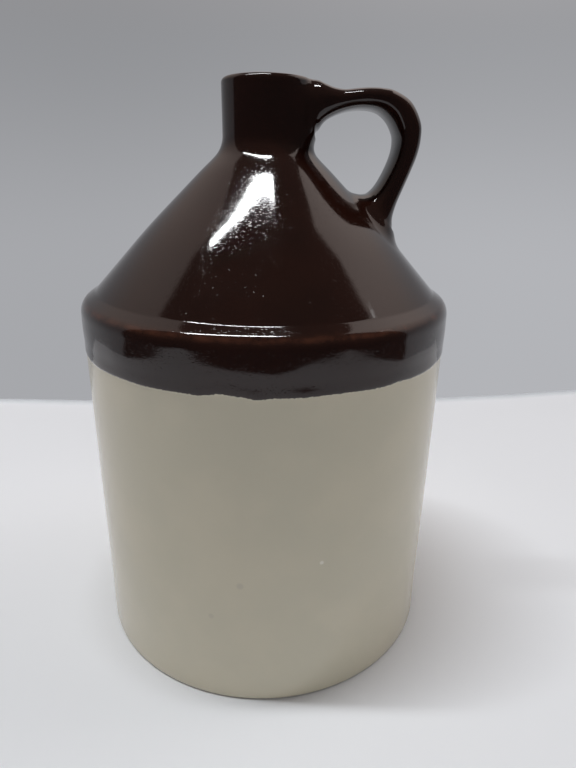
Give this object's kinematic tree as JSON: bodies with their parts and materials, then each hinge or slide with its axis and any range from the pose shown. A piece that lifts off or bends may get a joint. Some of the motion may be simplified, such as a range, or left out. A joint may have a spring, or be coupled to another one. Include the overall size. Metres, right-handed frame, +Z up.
{
  "type": "stoneware jug",
  "caption": "Straight-sided stoneware jug with a cone shoulder, short open neck and strap handle, glazed dark brown above and cream below.",
  "frame": {"origin": "centre of the flat base, where the jug stands on the table", "axes": "+Z up along the turned axis of the jug, towards its mouth; +X towards the handle"},
  "size_m": [0.1778, 0.1778, 0.27],
  "materials": {
    "brown_glaze": "glossy dark brown glaze that breaks to rust along the ridge",
    "cream_glaze": "glossy cream-grey glaze with a few small specks"
  },
  "bodies": {
    "root": {"jug": "brown_glaze"}
  },
  "joints": []
}
